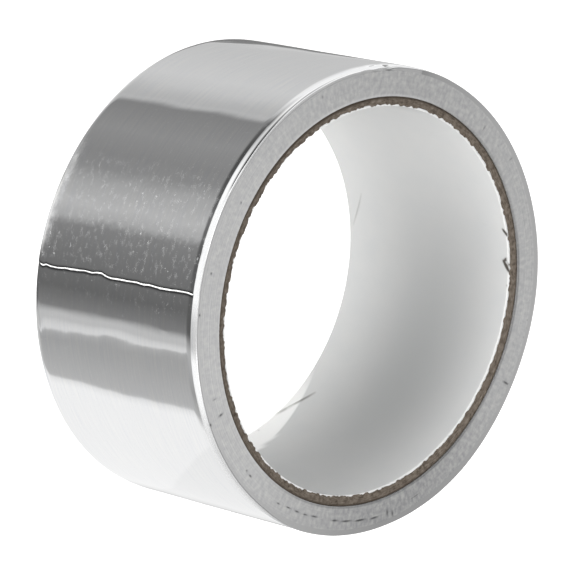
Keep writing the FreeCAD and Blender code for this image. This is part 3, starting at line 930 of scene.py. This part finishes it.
studio = {
    "skyLevel": 0.50,
    # soft lamps behind the tent: compass angle, height, narrowness and strength
    "lobes": [(-84, 14, 10, 1.8), (-50, 32, 10, 0.5), (-90, 60, 6, 1.5)],
    # a bright belt low round the front: compass angle, where it starts to fade and ends, strength
    "belt": (-85, 2.0, 12.0, 2.1),
    "bandLevel": 1.1,  # makes up for what the foil takes away
    "bandStart": -269.0,
    "slantScale": 12.0,
    "slantFrom": (-49.7, -43.7, 3.0),  # strips slant between these heights, about the middle one
    # strips of card that the foil sees below it: compass angle in degrees and tone. All tones here are
    # neutral, so two hex digits stand for red, green and blue
    "bands": [
        (-236.5, "7c"), (-233.5, "ce"), (-229, "be"), (-194, "c9"), (-186, "c3"), (-178, "b4"),
        (-174, "b1"), (-172.6, "ba"), (-171.6, "a6"), (-169.6, "80"), (-152, "8d"), (-138, "84"),
        (-130, "89"), (-121.7, "a4"), (-109.5, "b6"), (-103.3, "a9"), (-99.2, "81"), (-90, "77"),
        (-68, "64"), (-58, "7c"), (-54.5, "ba"), (-50.8, "bb"), (-49, "cc"), (-45.4, "d6"),
        (-44.6, "aa"), (-40, "9f"), (-18.8, "b3"), (-17.2, "e2"), (-13.5, "f0"), (66, "f1"), (84, "cc"),
        (91, "76"),
    ],
    # how far each strip slants: azimuth and degrees per degree of height
    "slants": [
        (-269, 10.8), (-244, 10.8), (-213, 0), (-60, 0), (-52, 0.5), (-47, 2.6), (-42, 2.6),
        (-36, 0), (74, 0), (82, 3.5), (87, 3), (91, 0),
    ],
    # what the foil sees where it leans towards its near rim, first a little and then more
    "rimBands": [
        (-269, "8c"), (-259, "a8"), (-251, "f4"), (-248, "f2"), (-184, "f2"), (-178, "dc"),
        (-171, "b8"), (-164, "5c"), (-146, "48"), (-122, "58"), (-112, "70"), (-98, "5c"), (-60, "58"),
        (-52, "b0"), (-30, "98"), (-20, "b0"), (-12, "ee"), (30, "ee"), (64, "dc"), (78, "a4"),
        (91, "8c"),
    ],
    "collarBands": [
        (-267, "d0"), (-256, "ff"), (-170, "fc"), (-162, "dc"), (-148, "d4"), (-134, "ff"), (-76, "ff"),
        (-66, "c8"), (-56, "c0"), (-50, "ff"), (-16, "ff"), (-8, "d8"), (0, "e8"), (50, "e8"),
        (66, "c4"), (91, "d0"),
    ],
    # the ground straight below, seen where the foil leans towards its far rim
    "groundBands": [
        (-267, "8a"), (-250, "9c"), (-238, "d4"), (-200, "de"), (-172, "b8"), (-164, "9a"),
        (-130, "a4"), (-118, "e0"), (-90, "d0"), (-78, "6a"), (-54, "58"), (-46, "c0"), (-15, "c8"),
        (0, "f2"), (86, "e6"), (91, "8a"),
    ],
    # the heights in degrees between which each of them takes over from the one below
    "heights": {"bands": (-58, -51), "rimBands": (-44.5, -38), "collarBands": (-32, -27)},
    "horizon": (-8, 0),
}


def towards(azimuth, elevation):
    a, e = np.radians(azimuth), np.radians(elevation)
    return Vector((np.cos(a) * np.cos(e), np.sin(a) * np.cos(e), np.sin(e)))


def makeSky():
    # a soft white tent above the horizon, and below it the strips of card that give foil its bands
    s = studio
    world = bpy.data.worlds.new("studio")
    bpy.context.scene.world = world
    world.use_nodes = True
    world.node_tree.nodes.clear()
    add = partial(addNode, world.node_tree)
    heading = add("TexCoord", None, None, "Generated")
    east, north, up = add("SeparateXYZ", None, {0: heading}).node.outputs
    azimuth = add("Math", {"operation": "ARCTAN2"}, {0: north, 1: east})
    toShare = {"operation": "MULTIPLY_ADD", 1: 1 / (2 * np.pi), 2: -s["bandStart"] / 360}
    share = add("Math", toShare, {0: azimuth})
    around = add("Math", {"operation": "FRACT"}, {0: share})
    rise = add("Math", {"operation": "ARCSINE"}, {0: up})
    degrees = add("Math", {"operation": "DEGREES"}, {0: rise})

    def rampOf(table, source):
        stops = [((place - s["bandStart"]) / 360, tone) for place, tone in table]
        return add("ValToRGB", {"stops": stops}, {0: source})

    def blendAt(heights, lower, higher):
        factor = add("MapRange", softRange(*heights), {"Value": degrees})
        return add("Mix", {"data_type": "RGBA"}, {0: factor, 6: lower, 7: higher})

    # the strips slide round by their slant times the height, and the other tables stay upright
    low, high, half = s["slantFrom"]
    span = {"From Min": low, "From Max": high, "To Min": -half, "To Max": half}
    lift = add("MapRange", span, {"Value": degrees})
    slants = [(place, evenGrey(value / s["slantScale"])) for place, value in s["slants"]]
    slant = rampOf(slants, around)
    turn = add("Math", {"operation": "MULTIPLY"}, {0: slant, 1: lift})
    slid = add("Math", {"operation": "MULTIPLY_ADD", 1: s["slantScale"] / 360}, {0: turn, 2: around})
    tones = {key: [(place, tone * 3) for place, tone in s[key]] for key in ("groundBands", *s["heights"])}
    colour = rampOf(tones["groundBands"], around)
    for name, heights in s["heights"].items():
        colour = blendAt(heights, colour, rampOf(tones[name], slid if name == "bands" else around))
    level = {"data_type": "RGBA", "blend_type": "MULTIPLY", 0: 1.0, 7: evenGrey(s["bandLevel"])}
    colour = add("Mix", level, {6: colour})
    # the tent glows where soft lamps stand behind it: each lobe is a power of the cosine to its middle
    tent = None
    for compass, height, power, strength in s["lobes"]:
        middle = {"operation": "DOT_PRODUCT", 1: tuple(towards(compass, height))}
        near = add("VectorMath", middle, {0: heading}, "Value")
        facing = add("Math", {"operation": "MAXIMUM", 1: 0.0}, {0: near})
        lobe = add("Math", {"operation": "POWER", 1: power}, {0: facing})
        added = {"operation": "MULTIPLY_ADD", 1: strength, 2: s["skyLevel"]}
        tent = add("Math", added, {0: lobe, 2: tent})
    compass, full, end, strength = s["belt"]
    middle = {"operation": "DOT_PRODUCT", 1: tuple(towards(compass, 0))}
    near = add("VectorMath", middle, {0: heading}, "Value")
    side = add("MapRange", softRange(-0.3, 0.7, strength), {"Value": near})
    fade = add("MapRange", softRange(end, full), {"Value": degrees})
    tent = add("Math", {"operation": "MULTIPLY_ADD"}, {0: side, 1: fade, 2: tent})
    colour = blendAt(s["horizon"], colour, tent)
    background = add("Background", {"Strength": 1.0}, {"Color": colour})
    add("OutputWorld", None, {"Surface": background})


floorTable = {
    "radii": [0.15, 0.6, 2.5, 10.0],
    "columns": 96,
    "below": 0.02 * mm,
    "tones": [(0.3, "e6e6e5"), (0.7, "e9e9e8")],
    # how the sheet glows, from straight out of it (0) to along it (1)
    "glows": [
        (0, 0), (0.12, 0.1), (0.22, 0.62), (0.38, 0.62), (0.5, 0.1), (0.65, 0.3), (0.8, 1.3),
        (0.92, 1), (1, 0.9),
    ],
    "glowScale": 10.0,
}


def whiteAcrylic(add):
    # matt white acrylic sheet that glows like a lamp and lights the roll from below: it glows more along
    # the sheet than straight out of it
    s = floorTable
    place = add("TexCoord", None, None, "Object")
    cloud = add("TexNoise", {"Scale": 6.0, "Detail": 2.0}, {"Vector": place})
    tone = add("ValToRGB", {"stops": s["tones"]}, {"Fac": cloud})
    facing = add("LayerWeight", {"Blend": 0.5}, None, "Facing")
    stops = [(place, evenGrey(value / s["glowScale"])) for place, value in s["glows"]]
    share = add("ValToRGB", {"stops": stops}, {0: facing})
    glow = add("Math", {"operation": "MULTIPLY", 1: s["glowScale"]}, {0: share})
    return {"Roughness": 0.9, "Emission Color": "ffffff"}, {"Base Color": tone, "Emission Strength": glow}


def makeFloor():
    # a plain round table top of rings about a middle point, wide enough that no view sees past it
    s = floorTable
    turn = np.linspace(0, 2 * np.pi, s["columns"], endpoint=False)
    reach = np.array(s["radii"])[:, None]
    rings = np.stack([reach * np.cos(turn), reach * np.sin(turn), 0 * reach * turn - s["below"]], -1)
    points = np.concatenate([rings.reshape(-1, 3), [[0, 0, -s["below"]]]])
    index = np.arange(len(points) - 1).reshape(-1, s["columns"])
    right = np.roll(index, -1, 1)
    faces = np.stack([index[:-1], index[1:], right[1:], right[:-1]], -1).reshape(-1, 4).tolist()
    faces += [[index.size, a, b] for a, b in zip(index[0].tolist(), right[0].tolist())]
    mesh = bpy.data.meshes.new("studio_table")
    mesh.from_pydata(points.tolist(), [], faces)
    table = finishPiece(mesh, 30)
    table.data.materials.append(makeFinish("matt white acrylic table", whiteAcrylic))
    table.visible_glossy = False  # the foil sees the strips of card instead


keyLight = {"azimuth": -52.0, "elevation": 50.0, "distance": 0.50, "size": 0.30, "watts": 0.35}


def makeKey():
    s = keyLight
    data = bpy.data.lights.new("soft_box", "AREA")
    data.size = s["size"]
    data.energy = s["watts"]
    lamp = bpy.data.objects.new("soft_box", data)
    away = towards(s["azimuth"], s["elevation"])
    lamp.location = Vector((0, 0, rollWidth / 2)) + away * s["distance"]
    lamp.rotation_euler = away.to_track_quat("Z", "Y").to_euler()
    bpy.context.scene.collection.objects.link(lamp)


viewpoint = {
    "azimuth": 0.298,
    "elevation": 44.924,
    "roll": 102.173,
    "distance": 919.6 * mm,
    "lens": 296.42,
    "aim": (0.694 * mm, 0.0, -0.876 * mm),  # from the middle of the roll
}


def makeCamera():
    s = viewpoint
    data = bpy.data.cameras.new("camera")
    data.lens = s["lens"]
    data.sensor_width = 36.0
    camera = bpy.data.objects.new("camera", data)
    turn = Euler((np.radians(90 - s["elevation"]), 0, np.radians(s["azimuth"]))).to_matrix()
    turn = turn @ Matrix.Rotation(np.radians(s["roll"]), 3, "Z")
    back = turn @ Vector((0, 0, 1))
    aim = Vector((0, 0, rollWidth / 2)) + Vector(s["aim"])
    camera.matrix_world = Matrix.Translation(aim + back * s["distance"]) @ turn.to_4x4()
    bpy.context.scene.collection.objects.link(camera)
    bpy.context.scene.camera = camera


makeSky()
makeFloor()
makeKey()
makeCamera()
bpy.context.scene.view_settings.view_transform = "Standard"
print("studio ready")
